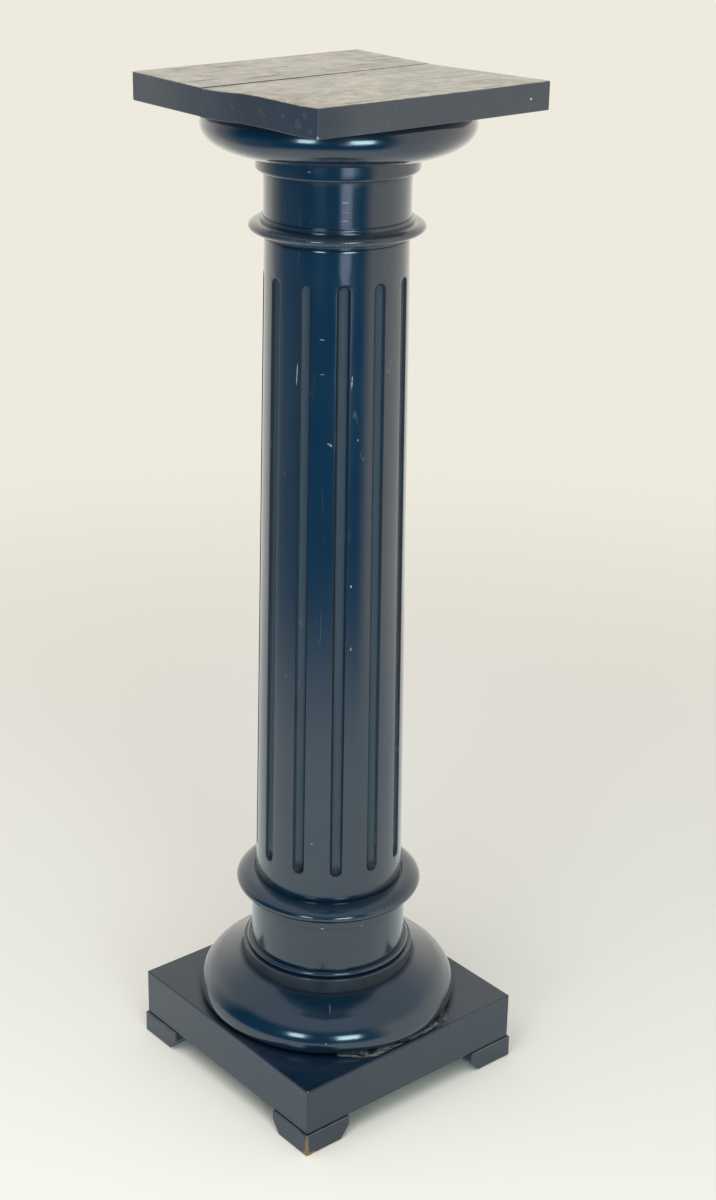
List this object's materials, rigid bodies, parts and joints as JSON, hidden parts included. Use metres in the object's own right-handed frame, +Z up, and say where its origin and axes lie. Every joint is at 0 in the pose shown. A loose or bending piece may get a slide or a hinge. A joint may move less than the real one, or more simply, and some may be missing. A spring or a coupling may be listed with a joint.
{
  "type": "column pedestal",
  "caption": "Turned and fluted wooden column on a square footed plinth, with a square top board to display a plant, bust or lamp on.",
  "frame": {"origin": "middle of the stand, on the floor under its feet", "axes": "+Z up along the column, X along the grain and seam of the top boards, -Y towards the side with the wider top board"},
  "size_m": [0.2946, 0.2946, 1.0788],
  "materials": {
    "turned_wood": "french-polished ebonised wood, glossy black",
    "board_wood": "ebonised wood, worn to a satin black",
    "top_wood": "ebonised wood, rubbed matt and dusty on top"
  },
  "bodies": {
    "root": {"foot_front_left": "board_wood", "foot_front_right": "board_wood", "foot_back_left": "board_wood", "foot_back_right": "board_wood", "plinth": "board_wood", "base_cushion": "turned_wood", "base_collar": "turned_wood", "shaft": "turned_wood", "capital": "turned_wood", "top_board_wide": "top_wood", "top_board_narrow": "top_wood"}
  },
  "joints": []
}
